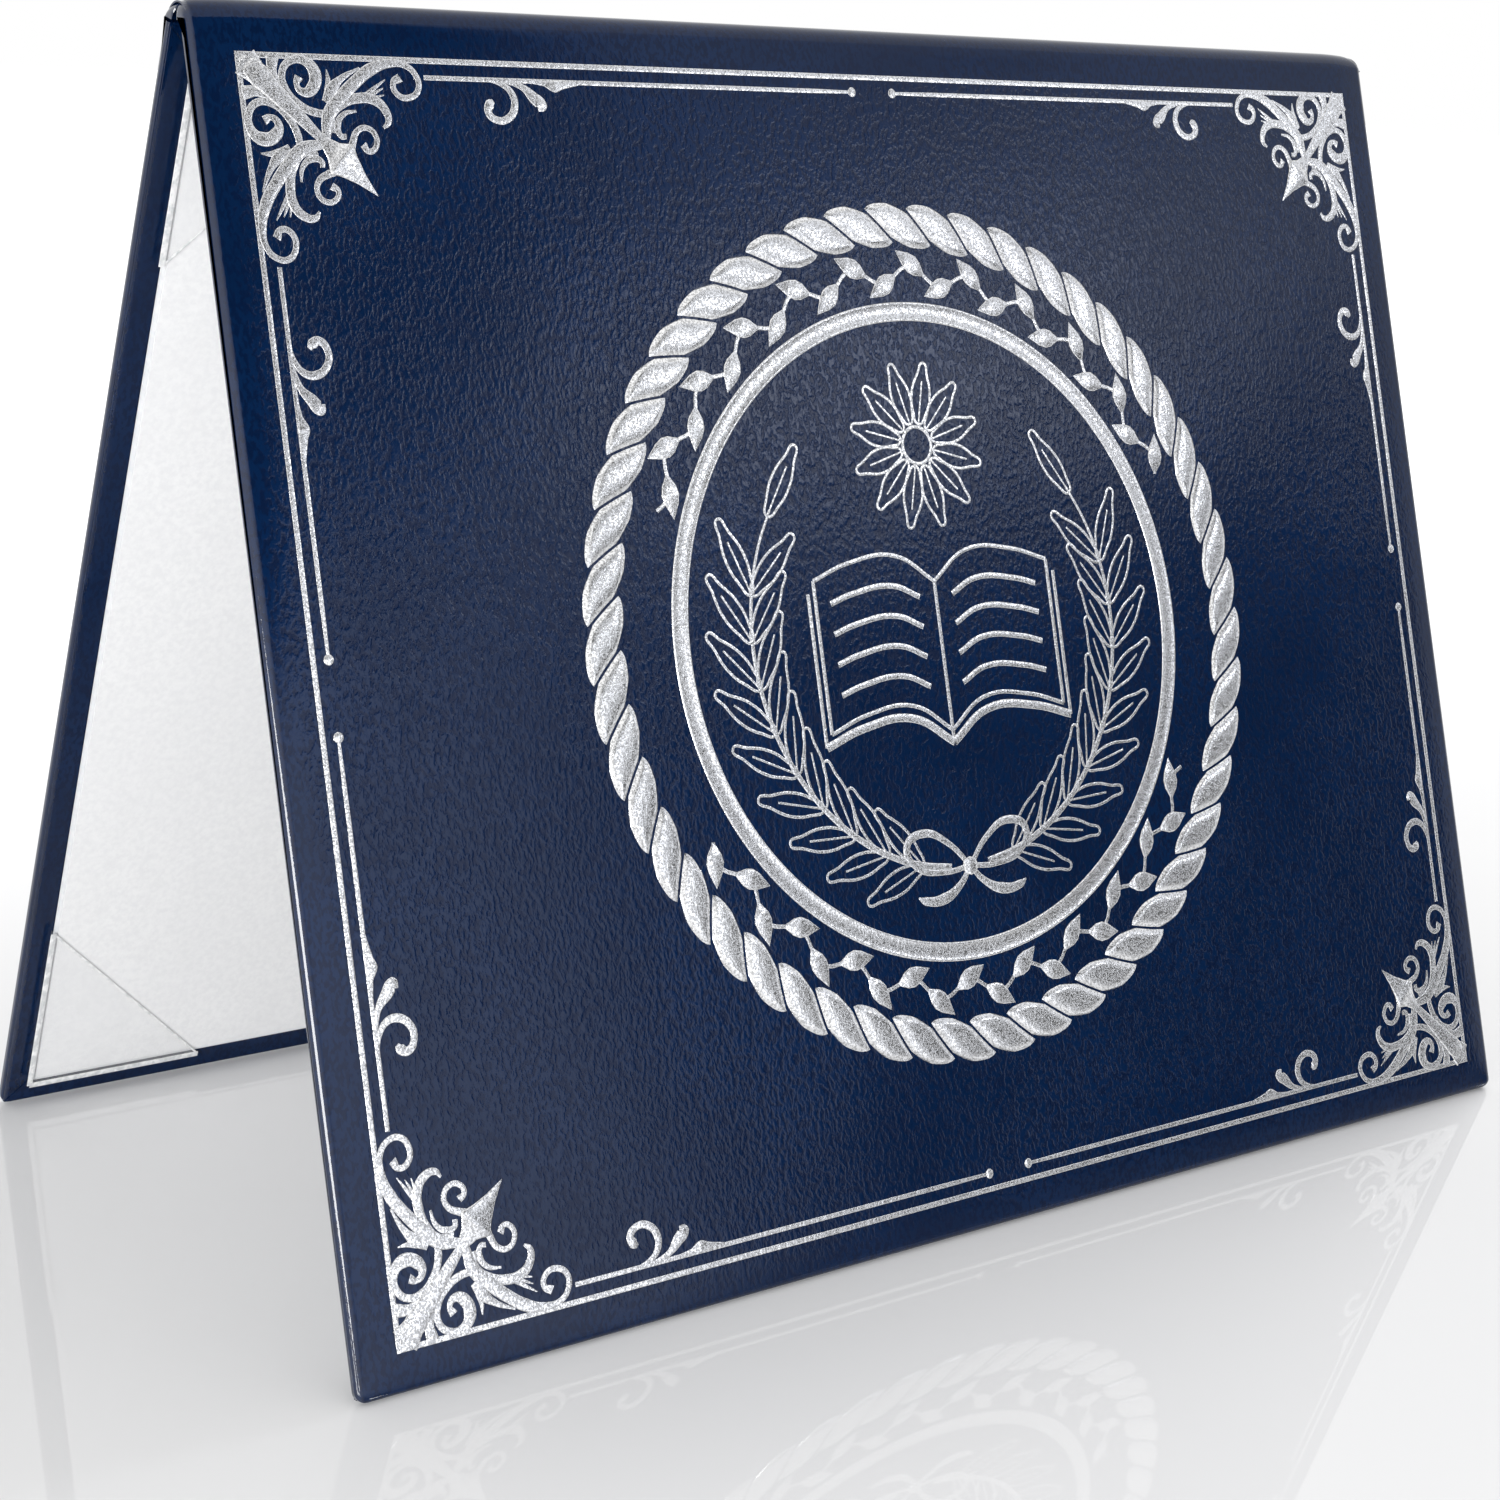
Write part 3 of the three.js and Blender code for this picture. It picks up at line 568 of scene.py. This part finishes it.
def foil_frame():
    """The frame's four lines and its scroll corners."""
    strokes = []
    line = frame_line / 2
    corners = [(line, line), (foil_width - line, line), (foil_width - line, foil_height - line),
               (line, foil_height - line)]
    for (x0, y0), (x1, y1) in zip(corners, corners[1:] + corners[:1]):
        along = Vector((x1 - x0, y1 - y0)).normalized() * line
        points = [(x0 - along.x, y0 - along.y, frame_line), (x1 + along.x, y1 + along.y, frame_line)]
        strokes.append((at_corner(points, -1, 1), False))
    for side in (-1, 1):
        for end in (-1, 1):
            for points in corner_strokes:
                strokes.append((at_corner(points, side, end), False))
                strokes.append((at_corner(points, side, end, True), False))
    return ribbons("stamped_frame", strokes)


def inner_line_strokes(length):
    """An inner line from its corner to its round end, with its small scrolls."""
    line = inner_line_offset
    ball = ball_radius * 2
    return [
        [[inner_line_start, line, inner_line], [60, line, inner_line], [length - 10, line, inner_line],
         [length, line, inner_line * 0.7]],
        [[length - ball_radius, line, 0.2], [length - ball_radius * 0.8, line, ball * 0.6],
         [length - ball_radius * 0.4, line, ball * 0.92], [length, line, ball],
         [length + ball_radius * 0.4, line, ball * 0.92], [length + ball_radius * 0.8, line, ball * 0.6],
         [length + ball_radius, line, 0.2]],
        [[49, 3.4, 0.5], [52, 4.1, 0.9], [54, 5.6, 1.3], [54.4, 8, 1.5], [52.8, 10.2, 1.4],
         [50.4, 10.6, 1.3], [48.7, 9.2, 1.5], [49.2, 7.8, 1.9], [50, 7.2, 0.8]],
        [[52.5, 3.5, 0.6], [56.5, 4.6, 1.2], [58.6, 6.4, 2.2], [60, 7.9, 2.6], [59.4, 8.8, 0.2]],
        [[58, line, 0.6], [61.4, line + 0.4, 0.9], [63.4, line + 0.8, 2.2], [65, line + 0.5, 1.6],
         [69.5, line, 0.6]],
    ]


def foil_lines():
    pieces = []
    for end, height in ((1, "top"), (-1, "bottom")):
        for side, hand in ((-1, "left"), (1, "right")):
            across = inner_line_strokes(foil_width / 2 - ball_gap_across)
            upright = inner_line_strokes(foil_height / 2 - ball_gap_up)
            strokes = [(at_corner(points, side, end), False) for points in across]
            pieces.append((ribbons(f"stamped_line_{height}_{hand}", strokes), f"foil_line_{height}_{hand}"))
            strokes = [(at_corner(points, side, end, True), False) for points in upright]
            pieces.append((ribbons(f"stamped_line_{hand}_{height}", strokes), f"foil_line_{hand}_{height}"))
    return pieces


def rope():
    """Slanting strands round a ring, each a low cushion of foil with two sharp and two round corners."""
    pitch = 2 * math.pi / rope_strands
    slant = math.radians(6.2)
    middle = (rope_outer + rope_inner) / 2
    width = rope_outer - rope_inner
    dip = 1.0
    rounding = 1.1
    rise = 0.5
    along = 14
    across = 12
    vertices = []
    faces = []
    for k in range(rope_strands):
        start = len(vertices)
        for j in range(along + 1):
            t = j / along
            for i in range(across + 1):
                u = i / across
                curve = dip * abs(2 * u - 1) ** 2.4
                low = rope_inner + curve + rounding * max(0.0, (u - 0.66) / 0.34) ** 2
                high = rope_outer - curve - rounding * max(0.0, (0.34 - u) / 0.34) ** 2
                radius = low + (high - low) * t
                angle = pitch * (k + (u - 0.5) * 0.93) + slant * (radius - middle) / width
                edge = max(1 - abs(2 * u - 1) ** 2.6, 0.0) ** 0.5 * max(1 - abs(2 * t - 1) ** 5, 0.0) ** 0.5
                vertices.append((radius * math.cos(angle), foil_middle + radius * math.sin(angle),
                                 foil_lift + rise * edge))
        for j in range(along):
            for i in range(across):
                a = start + j * (across + 1) + i
                faces.append((a, a + 1, a + across + 2, a + across + 1))
    mesh = bpy.data.meshes.new("stamped_rope")
    mesh.from_pydata(vertices, [], faces)
    item = bpy.data.objects.new("stamped_rope", mesh)
    bpy.context.collection.objects.link(item)
    only(item)
    bpy.ops.object.mode_set(mode="EDIT")
    bpy.ops.mesh.select_all(action="SELECT")
    bpy.ops.mesh.extrude_region_move(TRANSFORM_OT_translate={"value": (0, 0, -foil_lift * 0.9)})
    bpy.ops.mesh.select_all(action="SELECT")
    bpy.ops.mesh.normals_make_consistent(inside=False)
    bpy.ops.object.mode_set(mode="OBJECT")
    smooth(item, 50)
    return item


def band(name, middle, waves):
    """An arc of waving stem with a leaf in each half wave."""
    wave = math.radians(12.2)
    start = math.radians(middle) - wave * waves / 2
    stem = []
    for i in range(waves * 8 + 1):
        angle = start + wave * i / 8
        reach = band_radius + 1.7 * math.sin(2 * math.pi * i / 8)
        stem.append((reach * math.cos(angle), foil_middle + reach * math.sin(angle), 0.75))
    strokes = [(stem, False)]
    for i in range(waves * 2):
        outward = -1 if i % 2 == 0 else 1
        angle = start + wave * i / 2
        turn = angle + math.pi / 2 + outward * math.radians(32)
        spot = (band_radius * math.cos(angle), foil_middle + band_radius * math.sin(angle))
        strokes.append((leaf(*spot, turn, 8.4, 3.9), False))
    return ribbons(name, strokes)


def ring():
    """The plain ring, turned from a section with a raised rim at each side."""
    width = ring_outer - ring_inner
    section = [(0, 0), (0.02, 0.12), (0.07, 0.16), (0.13, 0.13), (0.2, 0.07), (0.8, 0.07), (0.87, 0.13),
               (0.93, 0.16), (0.98, 0.12), (1, 0)]
    bpy.ops.mesh.primitive_circle_add(vertices=len(section), fill_type="NGON", radius=1)
    item = bpy.context.object
    item.name = "stamped_ring"
    for vertex, (across, up) in zip(item.data.vertices, section):
        vertex.co = (ring_inner + across * width, 0, 0.01 + up)
    only(item)
    bpy.ops.object.mode_set(mode="EDIT")
    bpy.ops.mesh.select_all(action="SELECT")
    bpy.ops.mesh.delete(type="ONLY_FACE")
    bpy.ops.mesh.select_all(action="SELECT")
    bpy.ops.mesh.spin(steps=160, angle=2 * math.pi, center=(0, 0, 0), axis=(0, 0, 1))
    bpy.ops.mesh.select_all(action="SELECT")
    bpy.ops.mesh.remove_doubles(threshold=0.001)
    bpy.ops.mesh.normals_make_consistent(inside=False)
    bpy.ops.object.mode_set(mode="OBJECT")
    item.data.transform(Matrix.Translation((0, foil_middle, 0)))
    smooth(item, 50)
    return item


def leaf(x, y, turn, length, width):
    """A filled leaf, as one stroke of changing width."""
    shape = ((0, 0.05), (0.1, 0.36), (0.27, 0.82), (0.45, 1.0), (0.65, 0.8), (0.85, 0.36), (1, 0.02))
    return [(x + length * t * math.cos(turn), y + length * t * math.sin(turn), width * w) for t, w in shape]


def leaf_outline(x, y, turn, length, width, line):
    """A leaf drawn in line, with a vein."""
    shape = ((0, 0), (0.2, 0.36), (0.5, 0.5), (0.8, 0.27), (1, 0), (0.8, -0.27), (0.5, -0.5), (0.2, -0.36))
    points = []
    for t, aside in shape:
        along, off = t * length, aside * width
        points.append((x + along * math.cos(turn) - off * math.sin(turn),
                       y + along * math.sin(turn) + off * math.cos(turn), line))
    vein = [(x + length * t * math.cos(turn), y + length * t * math.sin(turn), line * 0.7)
            for t in (0, 0.35, 0.7)]
    return [(points, True), (vein, False)]


def branch(side):
    """Strokes of one branch of the wreath, from its foot up one side."""
    foot = math.radians(276)
    top = math.radians(394)
    first = foot + math.radians(9)
    last = top - math.radians(21)
    quarter = side * math.pi / 2

    def mirror(angle):
        return angle if side > 0 else math.pi - angle

    def spot(angle):
        turned = mirror(angle)
        return laurel_radius * math.cos(turned), foil_middle + laurel_radius * math.sin(turned)

    strokes = [([(*spot(foot + (top - foot) * i / 12), 0.9 * (1.6 - i / 12)) for i in range(13)], False)]
    for i in range(9):
        angle = first + (last - first) * i / 8
        for spread in (-0.61, 0.61):
            strokes += leaf_outline(*spot(angle), mirror(angle) + quarter + spread, *laurel_leaf)
    return strokes + leaf_outline(*spot(top - 0.03), mirror(top) + quarter, *laurel_leaf)


# Strokes of one half of the bow: across, up and width, from its knot
bow_strokes = [
    [[0, 0, 1], [5, 5, 1.2], [11, 7.6, 1.6], [15.5, 5.4, 1.6], [13.5, 1.4, 1.3], [7, -0.4, 1.1], [0, 0, 1]],
    [[0, 0, 1], [3, -3.2, 1.4], [7.5, -5.4, 2.2], [12.5, -5.2, 1.6], [14, -4.4, 0.3]],
    [[-2, 0, 0.3], [-1.4, 0, 2.6], [0, 0, 3.6], [1.4, 0, 2.6], [2, 0, 0.3]],
]


def wreath():
    """Two branches, tied with a bow at their foot."""
    strokes = branch(-1) + branch(1)
    knot = foil_middle - laurel_radius
    for points in bow_strokes:
        for side in (-1, 1):
            strokes.append(([(side * x, knot + y, width) for x, y, width in points], False))
    return ribbons("stamped_wreath", strokes)


# Arch of a page's edge and of a ruled line: share of the page's width, share of the dip
page_arch = ((0, 0), (0.3, 1), (0.7, 0.9), (1, 0.4))
rule_arch = ((0.14, 0.55), (0.35, 1.02), (0.7, 0.88), (0.88, 0.62))


def page_line(arch, side, half, lift, width):
    """An arched stroke across one page of the book."""
    return [(side * half * share, book_base + lift + book_dip * dips, width) for share, dips in arch], False


def book():
    """The open book: its gutter, the edges of its pages and the cover under them."""
    line = 0.8
    edge = book_base + book_dip * page_arch[-1][1]
    strokes = [([(0, book_base - book_gutter, line), (0, book_base + book_height + 0.4, line)], False)]
    for side in (-1, 1):
        strokes += [page_line(page_arch, side, book_half, 0, line),
                    page_line(page_arch, side, book_half, book_height, line),
                    page_line(page_arch, side, book_half + book_margin, -book_gutter, 2 * line)]
        for x, low in ((book_half, 0), (book_half + book_margin, -book_gutter)):
            upright = [(side * x, edge + low, line), (side * x, edge + low + book_height, line)]
            strokes.append((upright, False))
    return ribbons("stamped_book", strokes)


def book_rule(side, row, hand):
    """A ruled line on a page."""
    lift = book_height / (book_rules + 1) * (row + 1)
    return ribbons(f"stamped_rule_{hand}_{row + 1}", [page_line(rule_arch, side, book_half, lift, 1.1)])


def rosette():
    """Twelve petals drawn in line round a small button."""
    middle = foil_middle + 36
    button_radius = 3.6
    button_points = 16
    petals = 12
    petal_foot = 4.2
    button = []
    for i in range(button_points):
        turn = 2 * math.pi * i / button_points
        button.append((button_radius * math.cos(turn), middle + button_radius * math.sin(turn), 0.7))
    strokes = [(button, True)]
    for i in range(petals):
        turn = 2 * math.pi * (i + 0.5) / petals
        foot = (petal_foot * math.cos(turn), middle + petal_foot * math.sin(turn))
        strokes += leaf_outline(*foot, turn, 12.3, 4.6, 0.55)
    return ribbons("stamped_rosette", strokes)


def film_hem(node):
    """The raised welded lines along a film corner's slanting edge and its two outer edges."""
    item = frame["nodes"][node]
    local = back_place.inverted() @ item.matrix_world
    spots = [local @ vertex.co for vertex in item.data.vertices]
    depth = max(spot.y for spot in spots)
    middle = -hinge_setback - cover_height / 2
    across = sorted({round(spot.x, 5) for spot in spots}, key=abs)
    up = sorted({round(spot.z, 5) for spot in spots}, key=lambda z: abs(z - middle))
    corner = (across[-1], up[-1])
    ends = [(across[0], up[-1]), (across[-1], up[0])]
    strokes = []
    lines = ((*ends, hem_slant), (corner, ends[0], hem_outer), (corner, ends[1], hem_outer))
    for (x0, z0), (x1, z1), width in lines:
        strokes.append(([(-x0 / MM, z0 / MM, width), (-(x0 + x1) / 2 / MM, (z0 + z1) / 2 / MM, width),
                         (-x1 / MM, z1 / MM, width)], False))
    hem = ribbons(node.replace("corner", "hem"), strokes, hem_lift)
    turn = Matrix.Rotation(math.pi, 4, "Y") @ Matrix.Rotation(-math.pi / 2, 4, "X") @ Matrix.Scale(MM, 4)
    settle(hem, back_place @ Matrix.Translation((0, depth, 0)) @ turn)
    return hem


def floor():
    """A glossy pale floor that fades to white behind the cover."""
    shade = Shade("floor_gloss")
    behind = shade.ramp(shade.axis("Y"), 0.05, 0.6, 0.07, 0.6)
    glow = shade.mix(shade.ray("Camera") * behind, (0, 0, 0, 1), (1, 1, 1, 1))
    gloss = shade.finish({"Base Color": (0.8, 0.8, 0.805, 1), "Roughness": 0.012, "IOR": 1.4,
                          "Emission Color": glow, "Emission Strength": 1.0})
    bpy.ops.mesh.primitive_plane_add(size=12, location=(0, 0, 0))
    item = bpy.context.object
    item.name = "floor"
    item.data.materials.append(gloss)


def room():
    """The world: white where it is seen, plain as light, brighter in glossy surfaces."""
    shade = Shade("room", world=True)
    seen = shade.ray("Camera").most(shade.ray("Transmission"))
    mirrored = shade.ray("Glossy") * (room_mirrored - room_level) + room_level
    inputs = {"Color": (1, 1, 1, 1), "Strength": seen.most(mirrored)}
    bpy.context.scene.world = shade.finish(inputs, "ShaderNodeBackground", "ShaderNodeOutputWorld")


def direction(azimuth, elevation):
    """Unit vector from the front cover, towards degrees to its right and degrees up."""
    turn, rise = math.radians(azimuth), math.radians(elevation)
    return Vector((math.sin(turn) * math.cos(rise), -math.cos(turn) * math.cos(rise), math.sin(rise)))


def lamp(name, towards, distance, size, level, mirrored=True):
    """A soft lamp that faces the cover."""
    data = bpy.data.lights.new(name, "AREA")
    data.shape = "RECTANGLE"
    data.size, data.size_y = size
    data.energy = level * math.pi * size[0] * size[1]
    item = bpy.data.objects.new(name, data)
    item.location = aim + towards * distance
    item.rotation_euler = (-towards).to_track_quat("-Z", "Y").to_euler()
    item.visible_camera = False
    item.visible_glossy = mirrored
    bpy.context.collection.objects.link(item)


def room_panel():
    """The side of the room that the front cover mirrors: dark, with one soft bright window."""
    width, height, distance, raised = 3.4, 2.8, 3.0, 0.35
    base_glow, window_glow, left_glow, edge_glow, full_glow = 0.02, 4.6, 1.7, 0.75, 5.0
    shade = Shade("room_panel")
    place = shade.node("ShaderNodeTexCoord", {}, {}).outputs["UV"]
    across = (shade.axis("X", place) - 0.5) * width
    up = (shade.axis("Y", place) - 0.5) * height + raised
    off = up - 0.46 + across * 0.14
    window_up = shade.ramp(off, -0.3, -0.03) * shade.ramp(off, 0.03, 0.25, 1.0, 0.0)
    window = window_up * shade.ramp(across, -0.45, -0.2) * shade.ramp(across, 0.2, 0.5, 1.0, 0.0)
    left = shade.ramp(across, -0.68, -0.34, 1.0, 0.0) * shade.ramp(up, 0.37, 0.56, 1.0, 0.0)
    right = shade.ramp(across, 0.2, 0.42) * shade.ramp(up, 0.15, 0.42)
    top = shade.ramp(across, -0.35, -0.1) * shade.ramp(up, 0.6, 0.85)
    far = shade.ramp(across, 0.7, 0.95)
    edges = right.most(top).most(far)
    glow = window * window_glow + base_glow + left_glow * left + edge_glow * edges
    mirrored = shade.mix(glow * (1 / full_glow), (0, 0, 0, 1), (4.8, 4.95, 5.3, 1))
    plain = shade.mix(shade.ray("Camera"), (room_level, room_level, room_level, 1), (1, 1, 1, 1))
    tone = shade.mix(shade.ray("Glossy"), plain, mirrored)
    light = shade.finish({"Color": tone, "Strength": 1.0}, "ShaderNodeEmission")
    light.cycles.emission_sampling = "NONE"
    bpy.ops.mesh.primitive_plane_add(size=1)
    item = bpy.context.object
    item.name = "room_panel"
    towards = direction(43, 12)
    facing = towards.to_track_quat("Z", "Y").to_matrix().to_4x4()
    stand = Matrix.Translation(aim + towards * distance) @ facing
    item.data.transform(stand @ Matrix.Translation((0, raised, 0)) @ Matrix.Diagonal((width, height, 1, 1)))
    item.data.materials.append(light)


def lights():
    lamp("side", direction(-52, 3), distance=0.9, size=(0.5, 0.24), level=13.0)
    lamp("rear", direction(115, 40), distance=2.2, size=(0.8, 0.8), level=11.0, mirrored=False)
    room_panel()


# Making
camera()
floor()
room()
lights()
leather = leatherette()
foil = silver_foil("silver_foil")
liner = paper("liner_paper", "f4f5f6", "e9ebee", 500.0)
sheet = paper("sheet_paper", "fafafa", "f1f1f2", 900.0)
film = clear_film()
rim = film_rim_glint()

front = settle(cover_leather("front_leather"), front_place)
back = settle(cover_leather("back_leather"), back_place)
for item in (front, back):
    paint(item, leather)
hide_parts("front_wrap")
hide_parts("back_wrap", "spine_wrap")


def on_cover(place, depth, up):
    """A place in the frame from a depth and a height on a cover."""
    return tuple(place @ Vector((0, depth, up)))


# Points at each cover's edge and 22 degrees round the spine, then each cover's transform baked into its mesh
fold = math.radians(22)
past = (spine_radius - spine_radius * math.cos(fold), spine_radius * math.sin(fold))
on_cover(front_place, 0, -0.3 * MM)
on_cover(front_place, *past)
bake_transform(front)
on_cover(back_place, 0, -0.3 * MM)
on_cover(back_place, *past)
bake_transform(back)

stamped = [(foil_frame(), "foil_frame"), (rope(), "foil_rope"), (ring(), "foil_ring"),
           (band("stamped_band_top", 90, 11), "foil_band_top"),
           (band("stamped_band_bottom", 270, 10), "foil_band_bottom"),
           (wreath(), "foil_wreath"), (book(), "foil_book"), (rosette(), "foil_rosette")]
stamped += foil_lines()
for side, hand in ((-1, "left"), (1, "right")):
    for row in range(book_rules):
        stamped.append((book_rule(side, row, hand), f"foil_rule_{hand}_{row + 1}"))
for item, node in stamped:
    settle(item, drawing_place)
    paint(item, foil)
    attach(item, "front_cover")
    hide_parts(node)

for node, item in frame["nodes"].items():
    if node == "spine_lining" or node.endswith("_wrap"):
        paint(item, leather)
    elif node.endswith(("_liner", "_board")):
        paint(item, liner)
    elif node == "blank_sheet":
        paint(item, sheet)
    elif node.startswith("film_corner"):
        paint(item, film)

for node in [name for name in frame["nodes"] if name.startswith("film_corner")]:
    hem = film_hem(node)
    # The hems' white rim is partly painted highlight: the glint along the film's edges.
    paint(hem, rim)
    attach(hem, "back_cover")

bpy.context.scene.view_settings.view_transform = "Standard"
